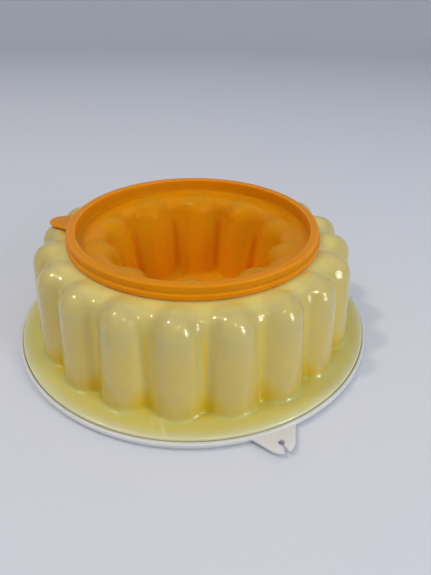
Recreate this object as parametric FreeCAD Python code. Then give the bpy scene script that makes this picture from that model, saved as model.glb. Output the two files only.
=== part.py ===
"""Ring mould on its serving tray, with a core seal pressed into its neck.

Millimetres, +Z up. The origin is at the middle of the tray's underside, on the surface
that the tray stands on. The mould stands on its wide end, as it does when a set dessert
is turned out: the tray below, the mould over it, and the core seal in the narrow end.
"""
import os
from math import acos, atan2, cos, pi, radians, sin, sqrt, tan

import FreeCAD
import Part
from FreeCAD import Vector

UP = Vector(0, 0, 1)
ORIGIN = Vector(0, 0, 0)

# Mould shell: wall, neck that the core seal grips, shoulder, grooves and lipped flange
MOULD_WALL = 1.6
NECK_RADIUS = 77.8
NECK_WALL = 1.6
NECK_TOP_Z = 72.0
NECK_HEIGHT = 6.4
SHOULDER_WIDTH = 12.2
SHOULDER_ROUND = 9.0
SHOULDER_SLOPE = 10.0
GROOVE_REACH = 10.9
GROOVE_DRAFT = 7.0
FLANGE_WIDTH = 17.1
FLANGE_TOP_Z = 6.6
FLANGE_EDGE_BREAK = 0.5

# Depth by which the filled bodies reach into each other where they are joined
ROOT_DEPTH = 1.0

# Outer lobes: round-topped bullets round the shell, joined by rounded grooves. The shares say where
# a seam at the lobe's foot, and the middle of its round, stand between a lobe and the next groove.
LOBE_COUNT = 20
LOBE_FIRST_ANGLE = -96.2
LOBE_SEAM_SHARE = 0.898
LOBE_DRAFT = 5.9
LOBE_RISE = 0.4
GROOVE_FOOT_SHARE = 0.97
GROOVE_TOP_ROUND = 1.2

# Core seal: rim that hooks over the neck, dish and fluted well
SEAL_WALL = 1.5
SEAL_NECK_GAP = 0.35
SEAL_RIM_TOP = 1.8
SEAL_RIM_DROP = 6.1
SEAL_BEAD_HEIGHT = 3.4
SEAL_BEAD_REACH = 1.4
SEAL_EDGE_BREAK = 0.5
DISH_DROP = 7.0
DISH_SLOPE = 6.0
WELL_MOUTH_SHARE = 0.7667
WELL_MOUTH_ROUND = 8.5
WELL_DRAFT = 6.5
WELL_TRAY_GAP = 0.5

# Inner lobes: bullets that bulge into the well
CORE_LOBE_COUNT = 10
CORE_LOBE_FIRST_ANGLE = 160.0
CORE_LOBE_SETBACK = 3.5
CORE_LOBE_SEAM_SHARE = 0.783
CORE_LOBE_DRAFT = 5.9
CORE_LOBE_DROP = 0.6
CORE_GROOVE_FOOT_SHARE = 0.93
CORE_GROOVE_TOP_ROUND = 1.5

# Serving tray: flat panel, channel for the flange lip, and rim bead
TRAY_WALL = 1.6
TRAY_RIDGE_TOP_Z = 4.6
TRAY_RIM_TOP_Z = 5.2
TRAY_BEAD_HEIGHT = 2.3
TRAY_BEAD_REACH = 0.7
TRAY_BASE_BREAK = 1.6
TRAY_LIP_GAP = 0.35

# Tray tab, with a hanging hole that a narrow slot opens to the tip
TRAY_TAB_ANGLE = -70.4
TRAY_TAB_THICKNESS = 1.6
TRAY_TAB_TOP_Z = 4.8
TRAY_TAB_ROOT_HALF = 13.2
TRAY_TAB_TIP_RADIUS = 8.4
TRAY_TAB_REACH = 13.1
TRAY_TAB_ROOT_ROUND = 3.0
HANG_HOLE_RADIUS = 1.75
HANG_HOLE_INSET = 6.1
HANG_SLOT_WIDTH = 0.9
HANG_SLOT_MOUTH = 3.2

# Pull tab on the seal's bead
SEAL_TAB_ANGLE = 172.5
SEAL_TAB_THICKNESS = 1.6
SEAL_TAB_ROOT_HALF = 12.0
SEAL_TAB_TIP_RADIUS = 7.5
SEAL_TAB_REACH = 15.6
SEAL_TAB_ROOT_ROUND = 4.0



def seam_distance(round_radius, lobe_axis, turn):
    """Radius of a lobe that crosses a round body at a turn from the lobe's crest."""
    return sqrt(round_radius ** 2 + lobe_axis ** 2 - 2 * round_radius * lobe_axis * cos(turn))


# Worked out from the sizes above
NECK_INNER_RADIUS = NECK_RADIUS - NECK_WALL
NECK_FOOT_Z = NECK_TOP_Z - NECK_HEIGHT
LOBE_AXIS_RADIUS = NECK_RADIUS + SHOULDER_WIDTH
LOBE_TOP_Z = NECK_FOOT_Z + LOBE_RISE
GROOVE_FOOT_RADIUS = LOBE_AXIS_RADIUS + GROOVE_REACH
LOBE_FOOT_RADIUS = seam_distance(GROOVE_FOOT_RADIUS, LOBE_AXIS_RADIUS, LOBE_SEAM_SHARE * pi / LOBE_COUNT)
FLANGE_RADIUS = GROOVE_FOOT_RADIUS + FLANGE_WIDTH
FLANGE_UNDER_Z = FLANGE_TOP_Z - MOULD_WALL
LIP_INNER_RADIUS = FLANGE_RADIUS - MOULD_WALL
TRAY_PANEL_TOP_Z = TRAY_WALL
TRAY_CHANNEL_OUTER = FLANGE_RADIUS + TRAY_LIP_GAP
TRAY_CHANNEL_INNER = LIP_INNER_RADIUS - TRAY_LIP_GAP
TRAY_SKIRT_RADIUS = TRAY_CHANNEL_OUTER + TRAY_WALL - TRAY_BEAD_REACH / 2
TRAY_RIM_RADIUS = TRAY_SKIRT_RADIUS + TRAY_BEAD_REACH
SEAL_RIM_TOP_Z = NECK_TOP_Z + SEAL_RIM_TOP
SEAL_HOOK_INNER = NECK_RADIUS + SEAL_NECK_GAP
SEAL_SKIRT_RADIUS = SEAL_HOOK_INNER + SEAL_WALL
SEAL_RIM_RADIUS = SEAL_SKIRT_RADIUS + SEAL_BEAD_REACH
SEAL_SKIRT_FOOT_Z = NECK_TOP_Z - SEAL_RIM_DROP
SEAL_BEAD_TOP_Z = SEAL_SKIRT_FOOT_Z + SEAL_BEAD_HEIGHT
SEAL_PLUG_RADIUS = NECK_INNER_RADIUS - SEAL_NECK_GAP
DISH_RADIUS = SEAL_PLUG_RADIUS - SEAL_WALL
DISH_EDGE_Z = NECK_TOP_Z - DISH_DROP
WELL_MOUTH_RADIUS = WELL_MOUTH_SHARE * DISH_RADIUS
WELL_MOUTH_Z = DISH_EDGE_Z - (DISH_RADIUS - WELL_MOUTH_RADIUS) * tan(radians(DISH_SLOPE))
CORE_FOOT_Z = TRAY_PANEL_TOP_Z + WELL_TRAY_GAP
WELL_FLOOR_Z = CORE_FOOT_Z + SEAL_WALL
WELL_FOOT_RADIUS = WELL_MOUTH_RADIUS - (WELL_MOUTH_Z - WELL_FLOOR_Z) * tan(radians(WELL_DRAFT))
CORE_LOBE_AXIS_RADIUS = WELL_MOUTH_RADIUS + CORE_LOBE_SETBACK
CORE_LOBE_FOOT_RADIUS = seam_distance(WELL_FOOT_RADIUS, CORE_LOBE_AXIS_RADIUS,
                                      CORE_LOBE_SEAM_SHARE * pi / CORE_LOBE_COUNT)
CORE_LOBE_TOP_Z = DISH_EDGE_Z - CORE_LOBE_DROP


class Lobe:
    """Sizes of a round-topped lobe on its own upright axis, its whole skin moved in by an inset.

    The sides lean in by the draft from the foot radius, and run tangent into a ball.
    """

    def __init__(self, foot_z, foot_radius, draft, top_z, inset):
        self.lean = radians(draft)
        full = (foot_radius - (top_z - foot_z) * tan(self.lean)) / (1 / cos(self.lean) - tan(self.lean))
        self.ball = full - inset
        self.centre_z = top_z - full
        self.tangent_z = self.centre_z + self.ball * sin(self.lean)

    def radius_at(self, z):
        """Radius of the leaning side at a height."""
        return (self.ball - (z - self.centre_z) * sin(self.lean)) / cos(self.lean)

    def dome(self, axis_radius):
        """Ball cap above the height where the sides run into it."""
        cap = Part.makeSphere(self.ball, Vector(axis_radius, 0, self.centre_z), Vector(0, 1, 0))
        block = Part.makeBox(4 * self.ball, 4 * self.ball, 2 * self.ball,
                             Vector(axis_radius - 2 * self.ball, -2 * self.ball, self.tangent_z))
        return cap.common(block)


def softened_wire(corners):
    """Closed wire in the XZ plane through corners (r, z, size).

    A positive size rounds the corner with a tangent arc of that radius. A negative size
    breaks it with a bevel that takes that much off each side. Zero leaves it sharp.
    """
    count = len(corners)
    points = [Vector(r, 0, z) for r, z, size in corners]
    starts, ends, middles = [], [], []
    for i, (r, z, size) in enumerate(corners):
        here = points[i]
        back = (points[i - 1] - here).normalize()
        ahead = (points[(i + 1) % count] - here).normalize()
        half = acos(back.dot(ahead)) / 2
        run = size / tan(half) if size > 0 else -size
        starts.append(here + back * run)
        ends.append(here + ahead * run)
        reach = size / sin(half) - size if size > 0 else 0
        middles.append(here + (back + ahead).normalize() * reach)
    edges = []
    for i, (r, z, size) in enumerate(corners):
        if size > 0:
            edges.append(Part.Arc(starts[i], middles[i], ends[i]).toShape())
        elif size < 0:
            edges.append(Part.LineSegment(starts[i], ends[i]).toShape())
        following = starts[(i + 1) % count]
        if (following - ends[i]).Length > 1e-6:
            edges.append(Part.LineSegment(ends[i], following).toShape())
    return Part.Wire(edges)


def turned(corners):
    """Solid of revolution about the upright axis."""
    return Part.Face(softened_wire(corners)).revolve(ORIGIN, UP, 360)


def rooted(radius, z):
    """First corners of a turned body that stands on a wall and reaches down into it with a narrower root."""
    return [
        (0, z - ROOT_DEPTH, 0),
        (radius - ROOT_DEPTH, z - ROOT_DEPTH, 0),
        (radius - ROOT_DEPTH, z, 0),
        (radius, z, 0),
    ]


def line_crossing(point_a, slope_a, point_b, slope_b):
    """Where two lines meet in (r, z); slope_a is dr/dz through a, slope_b dz/dr through b."""
    (ra, za), (rb, zb) = point_a, point_b
    z = (zb + slope_b * (ra - rb - slope_a * za)) / (1 - slope_a * slope_b)
    return ra + slope_a * (z - za), z


def all_round(shape, count, first_angle):
    """Copies of a shape at even turns about the axis."""
    copies = []
    for i in range(count):
        copy = shape.copy()
        copy.rotate(ORIGIN, UP, first_angle + i * 360.0 / count)
        copies.append(copy)
    return copies


def polar(radius, angle):
    """Point in the XY plane by radius and angle in radians."""
    return Vector(radius * cos(angle), radius * sin(angle), 0)


def seam_turns(round_radius, lobe_axis, lobe_radius, seam_round, side):
    """Turns from a lobe's crest to the middle of its seam's arc, about the upright axis and the lobe's."""
    to_seam = round_radius + side * seam_round
    from_lobe = lobe_radius + seam_round
    about_axis = acos((to_seam ** 2 + lobe_axis ** 2 - from_lobe ** 2) / (2 * to_seam * lobe_axis))
    across, along = to_seam * sin(about_axis), to_seam * cos(about_axis) - lobe_axis
    return about_axis, atan2(across, side * along)


def seam_round_at(turn, round_radius, lobe_axis, lobe_radius, side):
    """Radius of the arc that touches the round body and a lobe, centred at a turn from the lobe's crest."""
    between = (lobe_radius ** 2 - round_radius ** 2 - lobe_axis ** 2
               + 2 * lobe_axis * round_radius * cos(turn))
    return between / (2 * (side * (round_radius - lobe_axis * cos(turn)) - lobe_radius))


def fluted_wire(count, first_angle, z, round_radius, lobe_axis, lobe_radius, seam_round, side, face_turn):
    """Closed level outline of a round body with lobes, each seam rounded by a tangent arc.

    With side 1 the lobes stand out of the round body, and with side -1 they cut into it.
    Each lobe's face is one arc that spans the face turn to both sides of its crest.
    """
    pitch = 2 * pi / count
    seam_turn = seam_turns(round_radius, lobe_axis, lobe_radius, seam_round, side)[0]
    edges = []
    for i in range(count):
        middle = radians(first_angle) + i * pitch
        outward = middle if side > 0 else middle + pi
        lobe = polar(lobe_axis, middle)
        marks = []
        for turn in (-side, side):
            seam = polar(round_radius + side * seam_round, middle + turn * side * seam_turn)
            to_lobe = (lobe - seam).normalize()
            to_round = polar(-side, middle + turn * side * seam_turn)
            marks.append([seam + direction * seam_round
                          for direction in (to_round, (to_lobe + to_round).normalize(), to_lobe)])
            face_edge = lobe + polar(lobe_radius, outward + turn * face_turn)
            flank = (marks[-1][2] + face_edge) * 0.5 - lobe
            marks[-1] += [lobe + flank.normalize() * lobe_radius, face_edge]
        (round_a, bend_a, lobe_a, flank_a, face_a), (round_b, bend_b, lobe_b, flank_b, face_b) = marks
        corners = [
            (round_a, bend_a, lobe_a),
            (lobe_a, flank_a, face_a),
            (face_a, lobe + polar(lobe_radius, outward), face_b),
            (face_b, flank_b, lobe_b),
            (lobe_b, bend_b, round_b),
            (round_b, polar(round_radius, middle + pitch / 2),
             polar(round_radius, middle + pitch - seam_turn)),
        ]
        edges += [Part.Arc(*three).toShape() for three in corners]
    wire = Part.Wire(edges)
    wire.translate(Vector(0, 0, z))
    return wire


def fluted_wall(count, first_angle, foot_z, round_radius_at, lobe, lobe_axis, foot_share, top_round, side):
    """Filled fluted wall from a foot up to where the lobes' domes begin."""
    foot_sizes = (round_radius_at(foot_z), lobe_axis, lobe.radius_at(foot_z))
    foot_round = seam_round_at(foot_share * pi / count, *foot_sizes, side)
    top_sizes = (round_radius_at(lobe.tangent_z), lobe_axis, lobe.radius_at(lobe.tangent_z))
    levels = [(foot_z, *foot_sizes, foot_round, side), (lobe.tangent_z, *top_sizes, top_round, side)]
    face_turn = 0.9 * min(seam_turns(*level[1:])[1] for level in levels)
    wires = [fluted_wire(count, first_angle, *level, face_turn) for level in levels]
    return Part.makeLoft(wires, True, True)


def tongue(angle, root_radius, root_half, tip_radius, reach, root_round, low_z, high_z):
    """Rounded tab that stands out from a round rim, its flanks blended into the rim."""
    tip_centre = Vector(root_radius + reach - tip_radius, 0, 0)
    root = Vector(sqrt(root_radius ** 2 - root_half ** 2), root_half, 0)
    arm = root - tip_centre
    turn = atan2(arm.y, arm.x) - acos(tip_radius / arm.Length)
    contact = tip_centre + Vector(cos(turn), sin(turn), 0) * tip_radius
    along = (root - contact).normalize()
    outward = Vector(cos(turn), sin(turn), 0)
    start = contact + outward * root_round
    b = start.dot(along)
    c = start.dot(start) - (root_radius + root_round) ** 2
    blend_centre = start + along * (-b - sqrt(b * b - c))
    flank_end = blend_centre - outward * root_round
    rim_point = blend_centre * (root_radius / blend_centre.Length)
    middle = blend_centre + ((flank_end + rim_point) * 0.5 - blend_centre).normalize() * root_round

    def mirror(p):
        return Vector(p.x, -p.y, 0)

    tip = tip_centre + Vector(tip_radius, 0, 0)
    inside = Vector(root_radius - tip_radius / 4, 0, 0)
    edges = [
        Part.LineSegment(inside, rim_point).toShape(),
        Part.Arc(rim_point, middle, flank_end).toShape(),
        Part.LineSegment(flank_end, contact).toShape(),
        Part.Arc(contact, tip, mirror(contact)).toShape(),
        Part.LineSegment(mirror(contact), mirror(flank_end)).toShape(),
        Part.Arc(mirror(flank_end), mirror(middle), mirror(rim_point)).toShape(),
        Part.LineSegment(mirror(rim_point), inside).toShape(),
    ]
    plate = Part.Face(Part.Wire(edges)).extrude(Vector(0, 0, high_z - low_z))
    plate.translate(Vector(0, 0, low_z))
    plate.rotate(ORIGIN, UP, angle)
    return plate


def mould_body(inset, low_z, wall_foot_z, reach, neck_radius, neck_top, edge_break):
    """Filled mould: fluted wall, domed lobes, shoulder, neck and flange; the inset moves its skin in."""
    lean = radians(GROOVE_DRAFT)
    slope = radians(SHOULDER_SLOPE)
    lobe = Lobe(FLANGE_TOP_Z, LOBE_FOOT_RADIUS, LOBE_DRAFT, LOBE_TOP_Z, inset)

    def groove_radius(z):
        return GROOVE_FOOT_RADIUS - inset / cos(lean) - (z - FLANGE_TOP_Z) * tan(lean)

    top_z = lobe.tangent_z
    wall = fluted_wall(LOBE_COUNT, LOBE_FIRST_ANGLE, wall_foot_z, groove_radius, lobe, LOBE_AXIS_RADIUS,
                       GROOVE_FOOT_SHARE, GROOVE_TOP_ROUND + inset, 1)
    shoulder_point = (NECK_RADIUS, NECK_FOOT_Z - inset / cos(slope))
    corner = line_crossing((groove_radius(top_z), top_z), -tan(lean), shoulder_point, -tan(slope))
    neck_foot = shoulder_point[1] + (NECK_RADIUS - neck_radius) * tan(slope)
    top = turned(rooted(groove_radius(top_z), top_z) + [
        (corner[0], corner[1], SHOULDER_ROUND - inset),
        (neck_radius, neck_foot, 0),
        (neck_radius, neck_top, 0),
        (0, neck_top, 0),
    ])
    flange = turned([
        (0, low_z, 0),
        (reach, low_z, 0),
        (reach, wall_foot_z, -edge_break),
        (0, wall_foot_z, 0),
    ])
    domes = all_round(lobe.dome(LOBE_AXIS_RADIUS), LOBE_COUNT, LOBE_FIRST_ANGLE)
    return wall.fuse(top).multiFuse(domes).fuse(flange).removeSplitter()


def ring_mould():
    """Open-ended fluted shell with a neck at the narrow end and a lipped flange."""
    outside = mould_body(0.0, TRAY_PANEL_TOP_Z, FLANGE_TOP_Z, FLANGE_RADIUS, NECK_RADIUS, NECK_TOP_Z,
                         FLANGE_EDGE_BREAK)
    inside = mould_body(MOULD_WALL, 0.0, FLANGE_UNDER_Z, LIP_INNER_RADIUS, NECK_INNER_RADIUS,
                        NECK_TOP_Z + MOULD_WALL, 0)
    return outside.cut(inside).Solids[0]


def well_body(offset, foot_z, top_corners):
    """Filled well and dish: fluted well wall with domed lobes cut out of it, under the top's corners."""
    lean = radians(WELL_DRAFT)
    slope = radians(DISH_SLOPE)
    lobe = Lobe(WELL_FLOOR_Z, CORE_LOBE_FOOT_RADIUS, CORE_LOBE_DRAFT, CORE_LOBE_TOP_Z, offset)

    def well_radius(z):
        return WELL_MOUTH_RADIUS + offset / cos(lean) - (WELL_MOUTH_Z - z) * tan(lean)

    top_z = lobe.tangent_z
    wall = fluted_wall(CORE_LOBE_COUNT, CORE_LOBE_FIRST_ANGLE, foot_z, well_radius, lobe,
                       CORE_LOBE_AXIS_RADIUS, CORE_GROOVE_FOOT_SHARE, CORE_GROOVE_TOP_ROUND + offset, -1)
    dish_point = (DISH_RADIUS, DISH_EDGE_Z - offset / cos(slope))
    corner = line_crossing((well_radius(top_z), top_z), tan(lean), dish_point, tan(slope))
    top = turned([
        (0, top_z, 0),
        (well_radius(top_z), top_z, 0),
        (corner[0], corner[1], WELL_MOUTH_ROUND - offset),
    ] + top_corners + [(0, top_corners[-1][1], 0)])
    domes = all_round(lobe.dome(CORE_LOBE_AXIS_RADIUS), CORE_LOBE_COUNT, CORE_LOBE_FIRST_ANGLE)
    return wall.fuse(top.cut(domes)).removeSplitter()


def core_seal():
    """Rim that presses over the neck, dish and fluted well with a closed foot, and the pull tab."""
    above = SEAL_RIM_TOP_Z + SEAL_WALL
    air = well_body(0.0, WELL_FLOOR_Z, [
        (DISH_RADIUS, DISH_EDGE_Z, 0),
        (DISH_RADIUS, above, 0),
    ])
    plug_foot = DISH_EDGE_Z - SEAL_WALL / cos(radians(DISH_SLOPE)) + SEAL_WALL * tan(radians(DISH_SLOPE))
    skin = well_body(SEAL_WALL, CORE_FOOT_Z, [
        (SEAL_PLUG_RADIUS, plug_foot, 0),
        (SEAL_PLUG_RADIUS, NECK_TOP_Z, 0),
        (SEAL_HOOK_INNER, NECK_TOP_Z, 0),
        (SEAL_HOOK_INNER, SEAL_SKIRT_FOOT_Z, 0),
        (SEAL_RIM_RADIUS, SEAL_SKIRT_FOOT_Z, -SEAL_EDGE_BREAK),
        (SEAL_RIM_RADIUS, SEAL_BEAD_TOP_Z, -SEAL_EDGE_BREAK),
        (SEAL_SKIRT_RADIUS, SEAL_BEAD_TOP_Z, 0),
        (SEAL_SKIRT_RADIUS, SEAL_RIM_TOP_Z, -SEAL_EDGE_BREAK),
    ])
    tab_top = SEAL_SKIRT_FOOT_Z + (SEAL_BEAD_HEIGHT + SEAL_TAB_THICKNESS) / 2
    tab = tongue(SEAL_TAB_ANGLE, SEAL_RIM_RADIUS, SEAL_TAB_ROOT_HALF, SEAL_TAB_TIP_RADIUS,
                 SEAL_TAB_REACH, SEAL_TAB_ROOT_ROUND, tab_top - SEAL_TAB_THICKNESS, tab_top)
    bore = Part.makeCylinder(SEAL_HOOK_INNER + SEAL_WALL / 2, NECK_TOP_Z)
    return skin.cut(air).fuse(tab.cut(bore)).removeSplitter().Solids[0]


def hanging_hole():
    """Round hole in the tray's tab, and the flared slot from it to the tip."""
    tip = TRAY_RIM_RADIUS + TRAY_TAB_REACH
    centre = tip - HANG_HOLE_INSET
    low, high = TRAY_TAB_TOP_Z - 2 * TRAY_TAB_THICKNESS, TRAY_TAB_TOP_Z + TRAY_TAB_THICKNESS
    hole = Part.makeCylinder(HANG_HOLE_RADIUS, high - low, Vector(centre, 0, low))
    past = tip + HANG_SLOT_MOUTH
    slope = (HANG_SLOT_MOUTH - HANG_SLOT_WIDTH) / (2 * HANG_HOLE_INSET)
    half_far = HANG_SLOT_WIDTH / 2 + slope * (past - centre)
    half_near = HANG_SLOT_WIDTH / 2
    corners = [(centre, -half_near), (past, -half_far), (past, half_far), (centre, half_near)]
    outline = Part.makePolygon([Vector(x, y, low) for x, y in corners + corners[:1]])
    slot = Part.Face(outline).extrude(Vector(0, 0, high - low))
    cutter = hole.fuse(slot)
    cutter.rotate(ORIGIN, UP, TRAY_TAB_ANGLE)
    return cutter


def serving_tray():
    """Round tray with a channel for the flange lip, a beaded rim and a hanging tab."""
    bead_foot_z = TRAY_RIM_TOP_Z - TRAY_BEAD_HEIGHT
    ridge_inner = TRAY_CHANNEL_INNER - TRAY_WALL
    dish = turned([
        (0, 0, 0),
        (TRAY_SKIRT_RADIUS, 0, -TRAY_BASE_BREAK),
        (TRAY_SKIRT_RADIUS, bead_foot_z, 0),
        (TRAY_RIM_RADIUS, bead_foot_z, 0),
        (TRAY_RIM_RADIUS, TRAY_RIM_TOP_Z, -TRAY_BEAD_REACH),
        (TRAY_CHANNEL_OUTER, TRAY_RIM_TOP_Z, 0),
        (TRAY_CHANNEL_OUTER, TRAY_PANEL_TOP_Z, 0),
        (TRAY_CHANNEL_INNER, TRAY_PANEL_TOP_Z, 0),
        (TRAY_CHANNEL_INNER, TRAY_RIDGE_TOP_Z, 0),
        (ridge_inner, TRAY_RIDGE_TOP_Z, 0),
        (ridge_inner, TRAY_PANEL_TOP_Z, 0),
        (0, TRAY_PANEL_TOP_Z, 0),
    ])
    tab = tongue(TRAY_TAB_ANGLE, TRAY_RIM_RADIUS, TRAY_TAB_ROOT_HALF, TRAY_TAB_TIP_RADIUS,
                 TRAY_TAB_REACH, TRAY_TAB_ROOT_ROUND, TRAY_TAB_TOP_Z - TRAY_TAB_THICKNESS, TRAY_TAB_TOP_Z)
    bore = Part.makeCylinder(TRAY_CHANNEL_OUTER + TRAY_WALL / 2, TRAY_RIM_TOP_Z)
    return dish.fuse(tab.cut(bore)).removeSplitter().cut(hanging_hole()).Solids[0]


def main():
    os.makedirs("parts", exist_ok=True)
    pieces = {
        "ring_mould": ring_mould(),
        "core_seal": core_seal(),
        "serving_tray": serving_tray(),
    }
    for name, solid in pieces.items():
        box = solid.BoundBox
        print(name, solid.isValid(), "solids", len(solid.Solids), "faces", len(solid.Faces),
              "volume %.0f" % solid.Volume,
              "x %.1f..%.1f y %.1f..%.1f z %.1f..%.1f" % (box.XMin, box.XMax, box.YMin, box.YMax,
                                                         box.ZMin, box.ZMax))
        solid.exportStep("parts/%s.step" % name)


main()
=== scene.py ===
"""Looks of the ring mould, its core seal and its serving tray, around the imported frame.

Each of the three mouldings is a closed mesh worked out from the same sizes as its solid. The
fluted skins are level lines of distance fields: the lobes, the wall and the flange are rounded
into each other, and the inner skin is the same field one wall thickness further in.
"""

from math import acos, atan2, cos, pi, radians, sin, sqrt, tan

import bmesh
import bpy
import numpy as np
from mathutils import Matrix, Vector


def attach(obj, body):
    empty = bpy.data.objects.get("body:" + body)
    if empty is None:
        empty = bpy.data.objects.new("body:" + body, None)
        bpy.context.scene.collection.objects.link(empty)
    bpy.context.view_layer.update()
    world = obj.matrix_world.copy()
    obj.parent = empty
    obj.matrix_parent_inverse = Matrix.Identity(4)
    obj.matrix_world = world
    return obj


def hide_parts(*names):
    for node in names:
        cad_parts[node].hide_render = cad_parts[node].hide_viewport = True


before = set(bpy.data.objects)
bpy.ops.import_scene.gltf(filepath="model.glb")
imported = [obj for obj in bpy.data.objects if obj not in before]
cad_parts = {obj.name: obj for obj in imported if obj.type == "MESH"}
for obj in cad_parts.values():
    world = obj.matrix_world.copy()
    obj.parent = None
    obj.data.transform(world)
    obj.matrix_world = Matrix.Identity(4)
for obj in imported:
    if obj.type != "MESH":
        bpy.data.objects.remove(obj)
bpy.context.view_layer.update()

MM = 0.001

# Mould shell: wall, neck that the core seal grips, shoulder, grooves and lipped flange
MOULD_WALL = 1.6 * MM
NECK_RADIUS = 77.8 * MM
NECK_WALL = 1.6 * MM
NECK_TOP_Z = 72.0 * MM
NECK_HEIGHT = 6.4 * MM
SHOULDER_WIDTH = 12.2 * MM
SHOULDER_ROUND = 9.0 * MM
SHOULDER_SLOPE = radians(10.0)
GROOVE_REACH = 10.9 * MM
GROOVE_DRAFT = radians(7.0)
FLANGE_WIDTH = 17.1 * MM
FLANGE_TOP_Z = 6.6 * MM
FLANGE_EDGE_ROUND = 0.9 * MM
LOBE_COUNT = 20
LOBE_FIRST_ANGLE = radians(-96.2)
LOBE_SEAM_SHARE = 0.898
LOBE_DRAFT = radians(5.9)
LOBE_RISE = 0.4 * MM
LOBE_SEAM_ROUND = 1.4 * MM
LOBE_DOME_ROUND = 3.6 * MM
LOBE_FOOT_ROUND = 1.6 * MM

# Core seal: rim that hooks over the neck, dish and fluted well
SEAL_WALL = 1.5 * MM
SEAL_NECK_GAP = 0.35 * MM
SEAL_RIM_TOP = 1.8 * MM
SEAL_RIM_DROP = 6.1 * MM
SEAL_BEAD_HEIGHT = 3.4 * MM
SEAL_BEAD_REACH = 1.4 * MM
SEAL_EDGE_ROUND = 0.75 * MM
DISH_DROP = 7.0 * MM
DISH_SLOPE = radians(6.0)
WELL_MOUTH_SHARE = 0.7667
WELL_MOUTH_ROUND = 8.5 * MM
WELL_DRAFT = radians(6.5)
WELL_FLOOR_ROUND = 4.0 * MM
WELL_TRAY_GAP = 0.5 * MM
CORE_LOBE_COUNT = 10
CORE_LOBE_FIRST_ANGLE = radians(160.0)
CORE_LOBE_SETBACK = 3.5 * MM
CORE_LOBE_SEAM_SHARE = 0.783
CORE_LOBE_DRAFT = radians(5.9)
CORE_LOBE_DROP = 0.6 * MM
CORE_LOBE_SEAM_ROUND = 5.0 * MM

# Serving tray: flat panel, channel for the flange lip, and rim bead
TRAY_WALL = 1.6 * MM
TRAY_RIDGE_TOP_Z = 4.6 * MM
TRAY_RIM_TOP_Z = 5.2 * MM
TRAY_BEAD_HEIGHT = 2.3 * MM
TRAY_BEAD_REACH = 0.7 * MM
TRAY_BASE_ROUND = 1.6 * MM
TRAY_LIP_GAP = 0.35 * MM

# Tabs
TRAY_TAB_ANGLE = radians(-70.4)
TRAY_TAB_THICKNESS = 1.6 * MM
TRAY_TAB_TOP_Z = 4.8 * MM
TRAY_TAB_ROOT_HALF = 13.2 * MM
TRAY_TAB_TIP_RADIUS = 8.4 * MM
TRAY_TAB_REACH = 13.1 * MM
TRAY_TAB_ROOT_ROUND = 3.0 * MM
HANG_HOLE_RADIUS = 1.75 * MM
HANG_HOLE_INSET = 6.1 * MM
HANG_SLOT_WIDTH = 0.9 * MM
HANG_SLOT_MOUTH = 3.2 * MM
SEAL_TAB_ANGLE = radians(172.5)
SEAL_TAB_THICKNESS = 1.6 * MM
SEAL_TAB_ROOT_HALF = 12.0 * MM
SEAL_TAB_TIP_RADIUS = 7.5 * MM
SEAL_TAB_REACH = 15.6 * MM
SEAL_TAB_ROOT_ROUND = 4.0 * MM
TAB_EDGE_ROUND = 0.5 * MM


def seam_distance(round_radius, lobe_axis, turn):
    """Radius of a lobe that crosses a round body at a turn from the lobe's crest."""
    return sqrt(round_radius ** 2 + lobe_axis ** 2 - 2 * round_radius * lobe_axis * cos(turn))


# Worked out from the sizes above
NECK_INNER_RADIUS = NECK_RADIUS - NECK_WALL
NECK_FOOT_Z = NECK_TOP_Z - NECK_HEIGHT
LOBE_AXIS_RADIUS = NECK_RADIUS + SHOULDER_WIDTH
LOBE_TOP_Z = NECK_FOOT_Z + LOBE_RISE
DOME_BLEND_FOOT_Z = LOBE_TOP_Z - 2 * SHOULDER_ROUND
GROOVE_FOOT_RADIUS = LOBE_AXIS_RADIUS + GROOVE_REACH
LOBE_FOOT_RADIUS = seam_distance(GROOVE_FOOT_RADIUS, LOBE_AXIS_RADIUS,
                                 LOBE_SEAM_SHARE * pi / LOBE_COUNT)
FLANGE_RADIUS = GROOVE_FOOT_RADIUS + FLANGE_WIDTH
FLANGE_UNDER_Z = FLANGE_TOP_Z - MOULD_WALL
LIP_INNER_RADIUS = FLANGE_RADIUS - MOULD_WALL
TRAY_PANEL_TOP_Z = TRAY_WALL
TRAY_CHANNEL_OUTER = FLANGE_RADIUS + TRAY_LIP_GAP
TRAY_CHANNEL_INNER = LIP_INNER_RADIUS - TRAY_LIP_GAP
TRAY_SKIRT_RADIUS = TRAY_CHANNEL_OUTER + TRAY_WALL - TRAY_BEAD_REACH / 2
TRAY_RIM_RADIUS = TRAY_SKIRT_RADIUS + TRAY_BEAD_REACH
SEAL_RIM_TOP_Z = NECK_TOP_Z + SEAL_RIM_TOP
SEAL_HOOK_INNER = NECK_RADIUS + SEAL_NECK_GAP
SEAL_SKIRT_RADIUS = SEAL_HOOK_INNER + SEAL_WALL
SEAL_RIM_RADIUS = SEAL_SKIRT_RADIUS + SEAL_BEAD_REACH
SEAL_SKIRT_FOOT_Z = NECK_TOP_Z - SEAL_RIM_DROP
SEAL_BEAD_TOP_Z = SEAL_SKIRT_FOOT_Z + SEAL_BEAD_HEIGHT
SEAL_PLUG_RADIUS = NECK_INNER_RADIUS - SEAL_NECK_GAP
DISH_RADIUS = SEAL_PLUG_RADIUS - SEAL_WALL
DISH_EDGE_Z = NECK_TOP_Z - DISH_DROP
WELL_MOUTH_RADIUS = WELL_MOUTH_SHARE * DISH_RADIUS
WELL_MOUTH_Z = DISH_EDGE_Z - (DISH_RADIUS - WELL_MOUTH_RADIUS) * tan(DISH_SLOPE)
CORE_FOOT_Z = TRAY_PANEL_TOP_Z + WELL_TRAY_GAP
WELL_FLOOR_Z = CORE_FOOT_Z + SEAL_WALL
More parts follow.
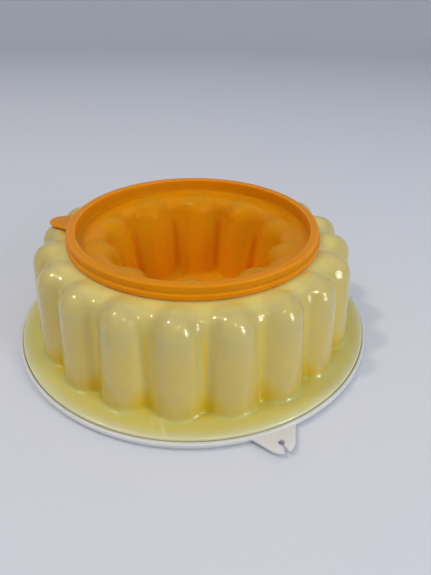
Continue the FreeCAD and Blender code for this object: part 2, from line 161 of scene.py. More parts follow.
WELL_FOOT_RADIUS = WELL_MOUTH_RADIUS - (WELL_MOUTH_Z - WELL_FLOOR_Z) * tan(WELL_DRAFT)
CORE_LOBE_AXIS_RADIUS = WELL_MOUTH_RADIUS + CORE_LOBE_SETBACK
CORE_LOBE_FOOT_RADIUS = seam_distance(WELL_FOOT_RADIUS, CORE_LOBE_AXIS_RADIUS,
                                      CORE_LOBE_SEAM_SHARE * pi / CORE_LOBE_COUNT)
CORE_LOBE_TOP_Z = DISH_EDGE_Z - CORE_LOBE_DROP

# Rounds of the edges and creases that hardly show, from the sharpest to the softest
CREASE_ROUND = 0.2 * MM
HIDDEN_EDGE_ROUND = 0.3 * MM
THIN_EDGE_ROUND = 0.4 * MM
RIDGE_ROUND = 0.5 * MM
DISH_CORNER_ROUND = 1.2 * MM

# Mesh density
COLUMNS_PER_LOBE = 24
COLUMNS_PER_CORE_LOBE = 36
MOULD_OUTER_ROWS = 104
MOULD_INNER_ROWS = 60
SEAL_UPPER_ROWS = 112
SEAL_UNDER_ROWS = 70
TRAY_COLUMNS = 360
HANG_HOLE_STEPS = 32
SHARP_ANGLE = radians(35)

# Level lines: steps, corrections, longest runs, and how far from the plain edges they begin and end
TRACE_STEP = 0.3 * MM
TRACE_CORRECTIONS = 2
SLOPE_STEP = 1e-6
TRACE_LENGTH = 160.0 * MM
UNDERSIDE_TRACE_LENGTH = 170.0 * MM
NECK_MARGIN = 0.4 * MM
FLANGE_MARGIN = 3.0 * MM
DISH_MARGIN = 2.0 * MM

# Radius at which the seal's and the tray's rows close on a pole, and a tab's depth in its rim
HUB_RADIUS = 4.0 * MM
TAB_ROOT_DEPTH = 1.5 * MM


def round_union(a, b, radius):
    """Union of two distance fields with a rounded inner corner."""
    near = np.hypot(np.maximum(radius - a, 0), np.maximum(radius - b, 0))
    return np.maximum(radius, np.minimum(a, b)) - near


def rounded_corner(r, z, corner, normal_a, normal_b, radius):
    """Field of an outer corner of two slopes, rounded; normals point out of the material."""
    (ar, az), (br, bz) = normal_a, normal_b
    det = ar * bz - az * br
    centre_r = corner[0] - radius * (bz - az) / det
    centre_z = corner[1] - radius * (ar - br) / det
    vr, vz = r - centre_r, z - centre_z
    in_fan = ((vr * bz - vz * br) / det > 0) & ((ar * vz - az * vr) / det > 0)
    slopes = np.maximum(vr * ar + vz * az, vr * br + vz * bz)
    return np.where(in_fan, np.hypot(vr, vz), slopes) - radius


def bullet_field(distance, z, foot_z, foot_radius, draft, top_z):
    """Field of a round-topped lobe, by the distance from its own upright axis."""
    ball = (foot_radius - (top_z - foot_z) * tan(draft)) / (1 / cos(draft) - tan(draft))
    above = z - (top_z - ball)
    side = distance * cos(draft) + above * sin(draft)
    on_ball = above * cos(draft) > distance * sin(draft)
    return np.where(on_ball, np.hypot(distance, above), side) - ball


def slopes_meet(point_a, normal_a, point_b, normal_b):
    """Point where two slopes, each given by a point and a normal, meet."""
    system = np.array([normal_a, normal_b])
    return np.linalg.solve(system, [np.dot(normal_a, point_a), np.dot(normal_b, point_b)])


def lobe_distances(r, turn, count, axis_radius):
    """Distances from the two nearest lobe axes, for a turn from the nearer one."""
    pitch = 2 * pi / count
    own = np.sqrt(r * r + axis_radius ** 2 - 2 * r * axis_radius * np.cos(turn))
    other = np.sqrt(r * r + axis_radius ** 2 - 2 * r * axis_radius * np.cos(pitch - abs(turn)))
    return own, other


def mould_field(r, z, turn):
    """Outer skin of the mould: wall, shoulder, lobes and flange rounded together."""
    wall = (cos(GROOVE_DRAFT), sin(GROOVE_DRAFT))
    shoulder = (sin(SHOULDER_SLOPE), cos(SHOULDER_SLOPE))
    corner = slopes_meet((GROOVE_FOOT_RADIUS, FLANGE_TOP_Z), wall,
                         (NECK_RADIUS, NECK_FOOT_Z), shoulder)
    field = rounded_corner(r, z, corner, wall, shoulder, SHOULDER_ROUND)
    own, other = (
        bullet_field(d, z, FLANGE_TOP_Z, LOBE_FOOT_RADIUS, LOBE_DRAFT, LOBE_TOP_Z)
        for d in lobe_distances(r, turn, LOBE_COUNT, LOBE_AXIS_RADIUS))
    up_the_dome = np.clip((z - DOME_BLEND_FOOT_Z) / (LOBE_TOP_Z - DOME_BLEND_FOOT_Z), 0, 1)
    blend = LOBE_SEAM_ROUND + (LOBE_DOME_ROUND - LOBE_SEAM_ROUND) * up_the_dome ** 2
    field = round_union(field, round_union(own, other, LOBE_SEAM_ROUND), blend)
    return round_union(field, z - FLANGE_TOP_Z, LOBE_FOOT_ROUND)


def core_field(r, z, turn):
    """Upper skin of the core seal: dish, well wall, lobes and floor rounded together."""
    wall = (-cos(WELL_DRAFT), sin(WELL_DRAFT))
    dish = (-sin(DISH_SLOPE), cos(DISH_SLOPE))
    corner = slopes_meet((WELL_MOUTH_RADIUS, WELL_MOUTH_Z), wall, (DISH_RADIUS, DISH_EDGE_Z), dish)
    field = rounded_corner(r, z, corner, wall, dish, WELL_MOUTH_ROUND)
    own, other = (
        bullet_field(d, z, WELL_FLOOR_Z, CORE_LOBE_FOOT_RADIUS, CORE_LOBE_DRAFT, CORE_LOBE_TOP_Z)
        for d in lobe_distances(r, turn, CORE_LOBE_COUNT, CORE_LOBE_AXIS_RADIUS))
    field = round_union(field, round_union(own, other, CORE_LOBE_SEAM_ROUND), CORE_LOBE_SEAM_ROUND)
    return round_union(field, z - WELL_FLOOR_Z, WELL_FLOOR_ROUND)


def trace(field, level, turns, start, end_r, length, rows):
    """Level line of a field in every column, from a start radius to an end radius.

    Walks along the line in small steps, then spreads the rows evenly over each column's run.
    """
    start_r, start_z = start
    r = np.full(len(turns), start_r)
    z = np.full(len(turns), start_z)
    heading = np.sign(end_r - start_r)

    def slope():
        value = field(r, z, turns) - level
        across = (field(r + SLOPE_STEP, z, turns) - level - value) / SLOPE_STEP
        upward = (field(r, z + SLOPE_STEP, turns) - level - value) / SLOPE_STEP
        return value, across, upward

    steps = [[], []]
    for _ in range(int(length / TRACE_STEP)):
        for _ in range(TRACE_CORRECTIONS):
            value, across, upward = slope()
            size = across ** 2 + upward ** 2
            r, z = r - value * across / size, z - value * upward / size
        steps[0].append(r)
        steps[1].append(z)
        size = np.sqrt(across ** 2 + upward ** 2)
        r, z = r + heading * upward / size * TRACE_STEP, z - heading * across / size * TRACE_STEP
    line_r, line_z = np.array(steps[0]), np.array(steps[1])
    out = np.empty((rows, len(turns), 2))
    for k in range(len(turns)):
        past = np.nonzero(heading * (line_r[:, k] - end_r) >= 0)[0]
        last = past[0]
        run_r, run_z = line_r[:last + 1, k].copy(), line_z[:last + 1, k].copy()
        share = (end_r - run_r[-2]) / (run_r[-1] - run_r[-2])
        run_z[-1] = run_z[-2] + share * (run_z[-1] - run_z[-2])
        run_r[-1] = end_r
        run = np.concatenate([[0], np.cumsum(np.hypot(np.diff(run_r), np.diff(run_z)))])
        places = np.linspace(0, run[-1], rows)
        out[:, k, 0] = np.interp(places, run, run_r)
        out[:, k, 1] = np.interp(places, run, run_z)
    return out


def rounded_profile(corners, arc_steps=5):
    """Open line through corners (r, z, radius), each inner one rounded by a tangent arc."""
    points = [np.array(c[:2]) for c in corners]
    line = [points[0]]
    for i in range(1, len(corners) - 1):
        radius = corners[i][2]
        back = points[i - 1] - points[i]
        ahead = points[i + 1] - points[i]
        back, ahead = back / np.linalg.norm(back), ahead / np.linalg.norm(ahead)
        half = acos(np.clip(np.dot(back, ahead), -1, 1)) / 2
        if radius <= 0:
            line.append(points[i])
            continue
        run = radius / tan(half)
        middle = back + ahead
        centre = points[i] + middle / np.linalg.norm(middle) * radius / sin(half)
        first, last = points[i] + back * run - centre, points[i] + ahead * run - centre
        for k in range(arc_steps + 1):
            spoke = first * (1 - k / arc_steps) + last * k / arc_steps
            line.append(centre + spoke / np.linalg.norm(spoke) * radius)
    line.append(points[-1])
    return np.array(line)


def columns(count, per_lobe, first_angle):
    """Angles round the axis, and each one's turn from its nearest lobe."""
    step = 2 * pi / (count * per_lobe)
    index = np.arange(count * per_lobe)
    turn = ((index + per_lobe // 2) % per_lobe - per_lobe // 2) * step
    return first_angle + index * step, turn


def even_angles(count):
    """Evenly spaced angles round the axis."""
    return np.arange(count) * 2 * pi / count


def spread(line, count):
    """The same profile line for every column."""
    return np.repeat(line[:, None, :], count, axis=1)


def added(name, data):
    """Object of a mesh, light or camera, linked into the scene."""
    made = bpy.data.objects.new(name, data)
    bpy.context.scene.collection.objects.link(made)
    return made


def grid_mesh(name, rows, angles, closed, poles=()):
    """Mesh of rows of (r, z) by column angle; closed joins the last row to the first."""
    count = len(angles)
    radii, heights = rows[..., 0], rows[..., 1]
    points = np.stack([radii * np.cos(angles), radii * np.sin(angles), heights], -1)
    verts = points.reshape(-1, 3)
    row_count = len(rows)
    faces = []
    last = row_count if closed else row_count - 1
    for i in range(last):
        a, b = i * count, (i + 1) % row_count * count
        for k in range(count):
            n = (k + 1) % count
            faces.append((a + k, b + k, b + n, a + n))
    extra = []
    for row, z in poles:
        centre = len(verts) + len(extra)
        extra.append((0.0, 0.0, z))
        base = row * count
        for k in range(count):
            n = (k + 1) % count
            faces.append((base + k, base + n, centre) if row == 0 else (base + n, base + k, centre))
    verts = np.vstack([verts, np.array(extra).reshape(-1, 3)])
    mesh = bpy.data.meshes.new(name)
    mesh.from_pydata(verts.tolist(), [], faces)
    mesh.validate()
    made = bmesh.new()
    made.from_mesh(mesh)
    bmesh.ops.recalc_face_normals(made, faces=made.faces)
    made.to_mesh(mesh)
    made.free()
    mesh.shade_smooth()
    return added(name, mesh)


def ring_mould():
    """Fluted shell, open at both ends, with its flange, lip and neck."""
    angles, turns = columns(LOBE_COUNT, COLUMNS_PER_LOBE, LOBE_FIRST_ANGLE)
    start_r = NECK_RADIUS + NECK_MARGIN
    end_r = FLANGE_RADIUS - FLANGE_MARGIN
    start_z = NECK_FOOT_Z - NECK_MARGIN * tan(SHOULDER_SLOPE)
    outer = trace(mould_field, 0.0, turns, (start_r, start_z), end_r, TRACE_LENGTH,
                  MOULD_OUTER_ROWS)
    inner_r = NECK_INNER_RADIUS + NECK_MARGIN
    inner_z = (NECK_FOOT_Z - MOULD_WALL / cos(SHOULDER_SLOPE)
               + (NECK_RADIUS - inner_r) * tan(SHOULDER_SLOPE))
    inner = trace(mould_field, -MOULD_WALL, turns, (inner_r, inner_z), end_r, TRACE_LENGTH,
                  MOULD_INNER_ROWS)
    edge = rounded_profile([
        (end_r, FLANGE_TOP_Z, 0),
        (FLANGE_RADIUS, FLANGE_TOP_Z, FLANGE_EDGE_ROUND),
        (FLANGE_RADIUS, TRAY_PANEL_TOP_Z, HIDDEN_EDGE_ROUND),
        (LIP_INNER_RADIUS, TRAY_PANEL_TOP_Z, HIDDEN_EDGE_ROUND),
        (LIP_INNER_RADIUS, FLANGE_UNDER_Z, HIDDEN_EDGE_ROUND),
        (end_r, FLANGE_UNDER_Z, 0),
    ], arc_steps=3)[1:-1]
    neck = rounded_profile([
        (inner_r, inner_z, 0),
        (NECK_INNER_RADIUS, inner_z, CREASE_ROUND),
        (NECK_INNER_RADIUS, NECK_TOP_Z, THIN_EDGE_ROUND),
        (NECK_RADIUS, NECK_TOP_Z, THIN_EDGE_ROUND),
        (NECK_RADIUS, start_z, CREASE_ROUND),
        (start_r, start_z, 0),
    ], arc_steps=2)[1:-1]
    count = len(angles)
    rows = np.concatenate([outer, spread(edge, count), inner[::-1], spread(neck, count)])
    return grid_mesh("ring_mould_shell", rows, angles, closed=True)


def core_seal():
    """Rim that hooks over the neck, dish, and the fluted well with its closed foot."""
    angles, turns = columns(CORE_LOBE_COUNT, COLUMNS_PER_CORE_LOBE, CORE_LOBE_FIRST_ANGLE)
    start_r = DISH_RADIUS - DISH_MARGIN
    start_z = DISH_EDGE_Z - DISH_MARGIN * tan(DISH_SLOPE)
    upper = trace(core_field, 0.0, turns, (start_r, start_z), HUB_RADIUS, TRACE_LENGTH,
                  SEAL_UPPER_ROWS)
    under_r = SEAL_PLUG_RADIUS - DISH_MARGIN
    under_z = DISH_EDGE_Z - SEAL_WALL / cos(DISH_SLOPE) - (DISH_RADIUS - under_r) * tan(DISH_SLOPE)
    under = trace(core_field, -SEAL_WALL, turns, (under_r, under_z), HUB_RADIUS,
                  UNDERSIDE_TRACE_LENGTH, SEAL_UNDER_ROWS)
    rim = rounded_profile([
        (under_r, under_z, 0),
        (SEAL_PLUG_RADIUS, under_z + DISH_MARGIN * tan(DISH_SLOPE), RIDGE_ROUND),
        (SEAL_PLUG_RADIUS, NECK_TOP_Z, CREASE_ROUND),
        (SEAL_HOOK_INNER, NECK_TOP_Z, CREASE_ROUND),
        (SEAL_HOOK_INNER, SEAL_SKIRT_FOOT_Z, THIN_EDGE_ROUND),
        (SEAL_RIM_RADIUS, SEAL_SKIRT_FOOT_Z, SEAL_EDGE_ROUND),
        (SEAL_RIM_RADIUS, SEAL_BEAD_TOP_Z, SEAL_EDGE_ROUND),
        (SEAL_SKIRT_RADIUS, SEAL_BEAD_TOP_Z, THIN_EDGE_ROUND),
        (SEAL_SKIRT_RADIUS, SEAL_RIM_TOP_Z, SEAL_EDGE_ROUND),
        (DISH_RADIUS, SEAL_RIM_TOP_Z, SEAL_EDGE_ROUND),
        (DISH_RADIUS, DISH_EDGE_Z, DISH_CORNER_ROUND),
        (start_r, start_z, 0),
    ], arc_steps=4)[1:-1]
    count = len(angles)
    rows = np.concatenate([under[::-1], spread(rim, count), upper])
    poles = [(0, CORE_FOOT_Z), (len(rows) - 1, WELL_FLOOR_Z)]
    return grid_mesh("core_seal_insert", rows, angles, closed=False, poles=poles)


def serving_tray():
    """Flat round tray with a channel for the flange lip and a beaded rim."""
    bead_foot_z = TRAY_RIM_TOP_Z - TRAY_BEAD_HEIGHT
    ridge_inner = TRAY_CHANNEL_INNER - TRAY_WALL
    line = rounded_profile([
        (HUB_RADIUS, 0, 0),
        (TRAY_SKIRT_RADIUS, 0, TRAY_BASE_ROUND),
        (TRAY_SKIRT_RADIUS, bead_foot_z, CREASE_ROUND),
        (TRAY_RIM_RADIUS, bead_foot_z, HIDDEN_EDGE_ROUND),
        (TRAY_RIM_RADIUS, TRAY_RIM_TOP_Z, TRAY_BEAD_REACH),
        (TRAY_CHANNEL_OUTER, TRAY_RIM_TOP_Z, THIN_EDGE_ROUND),
        (TRAY_CHANNEL_OUTER, TRAY_PANEL_TOP_Z, CREASE_ROUND),
        (TRAY_CHANNEL_INNER, TRAY_PANEL_TOP_Z, CREASE_ROUND),
        (TRAY_CHANNEL_INNER, TRAY_RIDGE_TOP_Z, RIDGE_ROUND),
        (ridge_inner, TRAY_RIDGE_TOP_Z, RIDGE_ROUND),
        (ridge_inner, TRAY_PANEL_TOP_Z, RIDGE_ROUND),
        (HUB_RADIUS, TRAY_PANEL_TOP_Z, 0),
    ], arc_steps=4)
    poles = [(0, 0.0), (len(line) - 1, TRAY_PANEL_TOP_Z)]
    return grid_mesh("serving_tray_dish", spread(line, TRAY_COLUMNS), even_angles(TRAY_COLUMNS),
                     closed=False, poles=poles)


def tab_outline(root_radius, root_half, tip_radius, reach, root_round, steps=10):
    """Plan of a rounded tab on a round rim, its flanks blended into the rim, along +X."""
    tip = np.array([root_radius + reach - tip_radius, 0.0])
    root = np.array([sqrt(root_radius ** 2 - root_half ** 2), root_half])
    arm = root - tip
    turn = atan2(arm[1], arm[0]) - acos(tip_radius / np.linalg.norm(arm))
    outward = np.array([cos(turn), sin(turn)])
    contact = tip + outward * tip_radius
    along = (root - contact) / np.linalg.norm(root - contact)
    start = contact + outward * root_round
    b = start @ along
    c = start @ start - (root_radius + root_round) ** 2
    blend = start + along * (-b - sqrt(b * b - c))
    rim_point = blend * root_radius / np.linalg.norm(blend)

    def arc(centre, radius, first, last):
        share = np.linspace(0, 1, steps)[:, None]
        spokes = (first - centre) * (1 - share) + (last - centre) * share
        return centre + spokes / np.linalg.norm(spokes, axis=1)[:, None] * radius

    inside = np.array([root_radius - TAB_ROOT_DEPTH, rim_point[1]])
    flank = arc(blend, root_round, rim_point, blend - outward * root_round)
    quarter = np.linspace(turn, 0, 2 * steps)
    nose = tip + tip_radius * np.stack([np.cos(quarter), np.sin(quarter)], -1)
    half = np.vstack([inside, flank, nose])
    mirrored = half[:-1][::-1] * (1, -1)
    return np.vstack([half, mirrored])


def plate(name, outline, low_z, high_z, edge_round, angle):
    """Flat plate of an outline, its top and bottom edges rounded, turned about +Z."""
    made = bmesh.new()
    ring = [made.verts.new((x, y, low_z)) for x, y in outline]
    face = made.faces.new(ring)
    raised = bmesh.ops.extrude_face_region(made, geom=[face])
    top = [g for g in raised["geom"] if isinstance(g, bmesh.types.BMVert)]
    for vert in top:
        vert.co.z = high_z
    bmesh.ops.recalc_face_normals(made, faces=made.faces)
    flat = [f for f in made.faces if len(f.verts) > 4]
    rims = {e for f in flat for e in f.edges}
    bmesh.ops.bevel(made, geom=list(rims), offset=edge_round, segments=3, profile=0.5,
                    affect="EDGES")
    bmesh.ops.rotate(made, verts=made.verts, matrix=Matrix.Rotation(angle, 3, "Z"))
    mesh = bpy.data.meshes.new(name)
    made.to_mesh(mesh)
    made.free()
    return added(name, mesh)


def combine(piece, tool, operation):
    """Joins a tool into a piece, or cuts it out, and drops the tool."""
    step = piece.modifiers.new("combine", "BOOLEAN")
    step.operation = operation
    step.solver = "EXACT"
    step.object = tool
    graph = bpy.context.evaluated_depsgraph_get()
    mesh = bpy.data.meshes.new_from_object(piece.evaluated_get(graph))
    piece.modifiers.clear()
    piece.data = mesh
    bpy.data.objects.remove(tool)


def seal_tab():
    """Pull tab that stands out from the seal's bead."""
    top = SEAL_SKIRT_FOOT_Z + (SEAL_BEAD_HEIGHT + SEAL_TAB_THICKNESS) / 2
    outline = tab_outline(SEAL_RIM_RADIUS, SEAL_TAB_ROOT_HALF, SEAL_TAB_TIP_RADIUS, SEAL_TAB_REACH,
                          SEAL_TAB_ROOT_ROUND)
    return plate("seal_tab", outline, top - SEAL_TAB_THICKNESS, top, TAB_EDGE_ROUND, SEAL_TAB_ANGLE)


def tray_tab():
    """Hanging tab with its hole and the flared slot from the hole to the tip."""
    outline = tab_outline(TRAY_RIM_RADIUS, TRAY_TAB_ROOT_HALF, TRAY_TAB_TIP_RADIUS, TRAY_TAB_REACH,
                          TRAY_TAB_ROOT_ROUND)
    tab = plate("tray_tab", outline, TRAY_TAB_TOP_Z - TRAY_TAB_THICKNESS, TRAY_TAB_TOP_Z,
                TAB_EDGE_ROUND, TRAY_TAB_ANGLE)
    tip = TRAY_RIM_RADIUS + TRAY_TAB_REACH
    centre = tip - HANG_HOLE_INSET
    half_near = HANG_SLOT_WIDTH / 2
    spread_rate = (HANG_SLOT_MOUTH - HANG_SLOT_WIDTH) / (2 * HANG_HOLE_INSET)
    past = tip + HANG_SLOT_MOUTH
    half_far = half_near + spread_rate * (past - centre)
    opening = acos(half_near / HANG_HOLE_RADIUS)
    turns = np.linspace(pi / 2 - opening, 2 * pi - (pi / 2 - opening), HANG_HOLE_STEPS)
    rim = np.stack([centre + HANG_HOLE_RADIUS * np.cos(turns),
                    HANG_HOLE_RADIUS * np.sin(turns)], -1)
    keyhole = np.vstack([rim, (past, -half_far), (past, half_far)])
    cutter = plate("tray_keyhole", keyhole, TRAY_TAB_TOP_Z - 2 * TRAY_TAB_THICKNESS,
                   TRAY_TAB_TOP_Z + TRAY_TAB_THICKNESS, TAB_EDGE_ROUND, TRAY_TAB_ANGLE)
    combine(tab, cutter, "DIFFERENCE")
    return tab


def srgb(red, green, blue):
    """Linear colour of a screen colour given from 0 to 255."""
    return tuple((c / 255 / 12.92) if c <= 10 else ((c / 255 + 0.055) / 1.055) ** 2.4
                 for c in (red, green, blue)) + (1.0,)


class Paint:
    """Material whose colour is worked out from the place on the piece."""

    def __init__(self, name):
        self.material = bpy.data.materials.new(name)
        self.material.use_nodes = True
        self.tree = self.material.node_tree
        self.shader = self.tree.nodes["Principled BSDF"]
        self.place = self.tree.nodes.new("ShaderNodeTexCoord").outputs["Object"]
        split = self.tree.nodes.new("ShaderNodeSeparateXYZ")
        self.tree.links.new(self.place, split.inputs[0])
        self.x, self.y, self.height = split.outputs
        self.radius = self.math("SQRT", self.math("ADD", self.math("MULTIPLY", self.x, self.x),
                                                  self.math("MULTIPLY", self.y, self.y)))

    def feed(self, socket, value):
        if isinstance(value, bpy.types.NodeSocket):
            self.tree.links.new(value, socket)
        else:
            socket.default_value = value

    def math(self, operation, first, second=0.0):
        node = self.tree.nodes.new("ShaderNodeMath")
        node.operation = operation
        self.feed(node.inputs[0], first)
        self.feed(node.inputs[1], second)
        return node.outputs[0]

    def rise(self, value, low, high):
        """Soft step from 0 at the low value to 1 at the high one."""
        node = self.tree.nodes.new("ShaderNodeMapRange")
        node.interpolation_type = "SMOOTHSTEP"
        self.feed(node.inputs["Value"], value)
        node.inputs["From Min"].default_value = min(low, high)
        node.inputs["From Max"].default_value = max(low, high)
        node.inputs["To Min"].default_value = 0.0 if low < high else 1.0
        node.inputs["To Max"].default_value = 1.0 if low < high else 0.0
        return node.outputs["Result"]

    def both(self, first, second):
        return self.math("MULTIPLY", first, second)

    def mix(self, share, first, second):
        node = self.tree.nodes.new("ShaderNodeMix")
        node.data_type = "RGBA"
        self.feed(node.inputs[0], share)
        self.feed(node.inputs[6], first)
        self.feed(node.inputs[7], second)
        return node.outputs[2]

    def between_lobes(self, count, first_angle):
        """0 along a lobe's crest, 1 along the groove between two lobes."""
        angle = self.math("SUBTRACT", self.math("ARCTAN2", self.y, self.x), first_angle)
        return self.math("PINGPONG", self.math("MULTIPLY", angle, count / pi), 1.0)

    def noise(self, scale, detail):
        node = self.tree.nodes.new("ShaderNodeTexNoise")
        self.tree.links.new(self.place, node.inputs["Vector"])
        node.inputs["Scale"].default_value = scale
        node.inputs["Detail"].default_value = detail
        return node.outputs[0]

    def finish(self, colour, roughness, unevenness, coat, glow, glow_reach, wave, sheen):
        """Sets the plastic's colour, gloss, soft glow and the slight waviness of a moulded skin."""
        patches = self.rise(self.noise(scale=38.0, detail=3.0), 0.35, 0.65)
        dirt = (0.02, 0.015, 0.005, 1)
        shade = self.mix(self.math("MULTIPLY", patches, 0.04), colour, dirt)
        self.feed(self.shader.inputs["Base Color"], shade)
        grain = self.math("MULTIPLY", self.noise(scale=90.0, detail=4.0), unevenness)
        self.feed(self.shader.inputs["Roughness"],
                  self.math("ADD", grain, roughness - unevenness / 2))
        self.shader.inputs["Coat Weight"].default_value = coat
        self.shader.inputs["Coat Roughness"].default_value = 0.03
        self.shader.inputs["Subsurface Weight"].default_value = glow
        self.shader.inputs["Subsurface Radius"].default_value = glow_reach
        self.shader.inputs["Subsurface Scale"].default_value = 1.0
        self.shader.inputs["IOR"].default_value = 1.5
        self.shader.inputs["Specular Tint"].default_value = sheen
        bump = self.tree.nodes.new("ShaderNodeBump")
        bump.inputs["Strength"].default_value = wave
        bump.inputs["Distance"].default_value = 1 * MM
        self.tree.links.new(self.noise(scale=45.0, detail=2.0), bump.inputs["Height"])
        self.tree.links.new(bump.outputs[0], self.shader.inputs["Normal"])
        self.tree.links.new(bump.outputs[0], self.shader.inputs["Coat Normal"])
        return self.material


def mould_plastic():
    """Glossy yellow: cream walls and paler domes, painted light on the flanks and on the shoulder
    by the neck, and gold painted shade in the grooves and at the lobes' feet.
    """
    paint = Paint("mould_plastic")
    height, radius = paint.height, paint.radius
    groove = paint.between_lobes(LOBE_COUNT, LOBE_FIRST_ANGLE)
    # Among these, shoulder and flank are painted light; gold, deep_gold_shade and flange_root_shade
    # are gold painted shade.
    wall, dome, shoulder = srgb(214, 179, 94), srgb(205, 178, 108), srgb(240, 208, 114)
    flank, gold, deep_gold_shade = srgb(226, 190, 96), srgb(240, 188, 44), srgb(228, 174, 12)
    flange_root_shade, flange_middle = srgb(218, 184, 40), srgb(216, 196, 104)
    flange_edge = srgb(214, 204, 156)
    up_the_dome = paint.rise(height, 0.036, 0.058)
    # Painted light: the lobes' flanks beside the grooves are made lighter.
    painted_flank_light = paint.both(paint.rise(groove, 0.45, 0.80), paint.rise(height, 0.066, 0.050))
    # Painted shade: gold deep in the grooves between the lobes, where light bounces between them.
    painted_groove_shade = paint.both(paint.rise(groove, 0.84, 1.0), paint.rise(height, 0.062, 0.046))
    # Painted light: the shoulder by the neck is made lighter, where the seal's rim shades it.
    painted_neck_light = paint.rise(radius, 0.095, 0.083)
    # Painted shade: deeper gold round the lobes' feet, low in the grooves.
    painted_foot_shade = paint.both(paint.rise(height, 0.026, 0.008), paint.rise(groove, 0.35, 0.90))
    on_the_flange = paint.rise(height, 0.0105, 0.0070)
    colour = paint.mix(up_the_dome, wall, dome)
    colour = paint.mix(painted_flank_light, colour, flank)
    colour = paint.mix(painted_groove_shade, colour, gold)
    colour = paint.mix(painted_neck_light, colour, shoulder)
    colour = paint.mix(painted_foot_shade, colour, deep_gold_shade)
    # Painted shade: gold on the flange next to the lobes' feet, paler further out.
    flange = paint.mix(paint.rise(radius, 0.100, 0.1085), flange_root_shade, flange_middle)
    flange = paint.mix(paint.rise(radius, 0.111, 0.1178), flange, flange_edge)
    colour = paint.mix(on_the_flange, colour, flange)
    return paint.finish(colour, roughness=0.25, unevenness=0.06, coat=0.8, glow=0.6,
                        glow_reach=(0.012, 0.008, 0.003), wave=0.03, sheen=(1, 0.86, 0.5, 1))


def seal_plastic():
    """Satin orange, darker in the dish and on the rim, lightest in the well as painted light, with
    painted shade along the grooves.
    """
    paint = Paint("seal_plastic")
    height = paint.height
    groove = paint.between_lobes(CORE_LOBE_COUNT, CORE_LOBE_FIRST_ANGLE)
    # The shade colour is painted shade along the well's grooves.
    dish, rim, shade = srgb(234, 137, 4), srgb(221, 135, 8), srgb(230, 128, 8)
    # The well's two colours are painted light: lighter than the dish, standing in for light through
    # the plastic.
    well, lit_low_well = srgb(250, 157, 16), srgb(250, 155, 14)
    colour = paint.mix(paint.rise(height, 0.066, 0.0685), dish, rim)
    # Painted light: lighter down the well.
    colour = paint.mix(paint.rise(height, 0.0615, 0.050), colour, well)
    colour = paint.mix(paint.rise(height, 0.050, 0.012), colour, lit_low_well)
    # Painted shade: darker along the grooves of the well's wall.
    groove_shade_heights = paint.both(paint.rise(height, 0.058, 0.040), paint.rise(height, 0.005, 0.015))
    colour = paint.mix(paint.both(paint.rise(groove, 0.72, 1.0), groove_shade_heights), colour, shade)
    paint.shader.inputs["Specular IOR Level"].default_value = 0.3
    return paint.finish(colour, roughness=0.32, unevenness=0.08, coat=0.0, glow=0.7,
                        glow_reach=(0.010, 0.004, 0.001), wave=0.06, sheen=(1, 0.62, 0.16, 1))


def tray_plastic():
    """Satin milky white, with painted shade low on the rim: darker and slightly warmer there."""
    paint = Paint("tray_plastic")
    rim, foot = srgb(205, 205, 203), srgb(190, 189, 180)
    # Painted shade: the foot colour low on the rim, below its bead.
    colour = paint.mix(paint.rise(paint.height, 0.004, 0.001), rim, foot)
    return paint.finish(colour, roughness=0.30, unevenness=0.08, coat=0.1, glow=0.25,
                        glow_reach=(0.006, 0.006, 0.006), wave=0.08, sheen=(1, 1, 1, 1))


def pale_surface():
    """Plain pale surface that the part stands on."""
    paint = Paint("pale_surface")
    colour = paint.mix(paint.noise(scale=3.0, detail=2.0), srgb(203, 207, 216), srgb(206, 209, 217))
    paint.feed(paint.shader.inputs["Base Color"], colour)
    paint.shader.inputs["Roughness"].default_value = 0.8
    return paint.material


def dress(piece, material, node, body):
    """Gives a piece its finish and its body, and hides the node that it stands for."""
    piece.data.materials.clear()
    piece.data.materials.append(material)
    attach(piece, body)
    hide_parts(node)


def camera():
    """Camera at the photograph's place, tilt and field of view."""
    place = Vector((0, -0.25827, 0.19093))
    yaw, pitch, roll = 0.0567, 0.5823, -0.0165
    focal_px, frame_height_px, sensor_mm = 432.0, 575.0, 36.0
    forward = Vector((sin(yaw) * cos(pitch), cos(yaw) * cos(pitch), -sin(pitch)))
    level_right = Vector((cos(yaw), -sin(yaw), 0))
    level_down = forward.cross(level_right)
    right = cos(roll) * level_right + sin(roll) * level_down
    down = -sin(roll) * level_right + cos(roll) * level_down
    data = bpy.data.cameras.new("camera")
    data.sensor_width = sensor_mm
    data.lens = sensor_mm * focal_px / frame_height_px
    data.clip_start = 0.01
    made = added("camera", data)
    turn = Matrix((right, -down, -forward)).transposed().to_4x4()
    made.matrix_world = Matrix.Translation(place) @ turn
    bpy.context.scene.camera = made


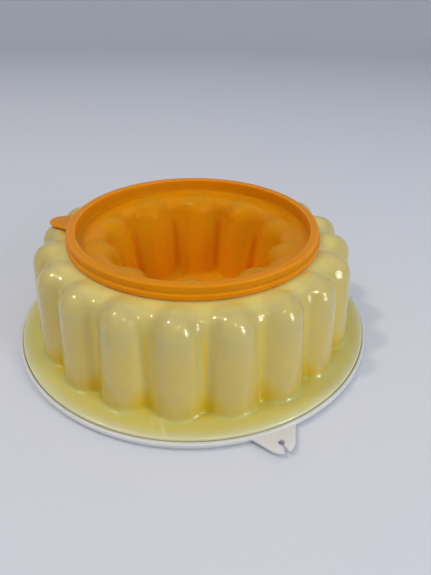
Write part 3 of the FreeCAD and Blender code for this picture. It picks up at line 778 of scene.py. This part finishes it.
def area_light(name, place, target, size, power, colour, mirrored=True):
    """Soft rectangular light facing a point; an unmirrored one leaves no reflection of itself."""
    data = bpy.data.lights.new(name, "AREA")
    data.shape = "RECTANGLE"
    data.size, data.size_y = size
    data.energy = power
    data.color = colour
    made = added(name, data)
    made.visible_glossy = mirrored
    made.location = place
    made.rotation_euler = (Vector(target) - Vector(place)).to_track_quat("-Z", "Y").to_euler()


def surroundings():
    """Pale round floor that curves up on every side, so that no edge of it shows from any side."""
    flat_radius, bend, top = 2.2, 1.2, 3.0
    columns_round, bend_steps = 96, 24
    line = [(flat_radius + bend * sin(a), bend * (1 - cos(a)))
            for a in np.linspace(0, pi / 2, bend_steps)]
    line.append((flat_radius + bend, top))
    floor = grid_mesh("floor", spread(np.array(line), columns_round), even_angles(columns_round),
                      closed=False, poles=[(0, 0.0)])
    floor.data.flip_normals()
    floor.data.materials.append(pale_surface())


def studio():
    """Soft light from above and in front, two small warm lamps and a cool window of two panes."""
    world = bpy.data.worlds.new("studio")
    world.use_nodes = True
    world.node_tree.nodes["Background"].inputs["Color"].default_value = (0.82, 0.84, 0.89, 1)
    world.node_tree.nodes["Background"].inputs["Strength"].default_value = 0.68
    bpy.context.scene.world = world
    heart = (0, 0, 0.05)
    warm, cool = (1, 0.90, 0.76), (0.86, 0.93, 1)
    area_light("key", (-0.35, -0.95, 1.45), heart, (1.2, 1.2), 6.5, (1, 0.97, 0.94), mirrored=False)
    area_light("lamp", (-0.99, -0.134, 1.77), heart, (0.16, 0.16), 8, warm)
    area_light("second_lamp", (0.36, -1.04, 1.48), heart, (0.11, 0.11), 3, warm)
    for side in (-1, 1):
        pane = (1.30 + 0.07 * side, -1.09 + 0.08 * side, 0.62)
        area_light("window", pane, heart, (0.10, 1.10), 6, cool)


bpy.context.scene.view_settings.view_transform = "Standard"
shell = ring_mould()
insert = core_seal()
combine(insert, seal_tab(), "UNION")
dish = serving_tray()
combine(dish, tray_tab(), "UNION")
for piece in (insert, dish):
    piece.data.shade_smooth()
    piece.data.set_sharp_from_angle(angle=SHARP_ANGLE)
dress(shell, mould_plastic(), "ring_mould", "mould")
dress(insert, seal_plastic(), "core_seal", "seal")
dress(dish, tray_plastic(), "serving_tray", "tray")
camera()
surroundings()
studio()
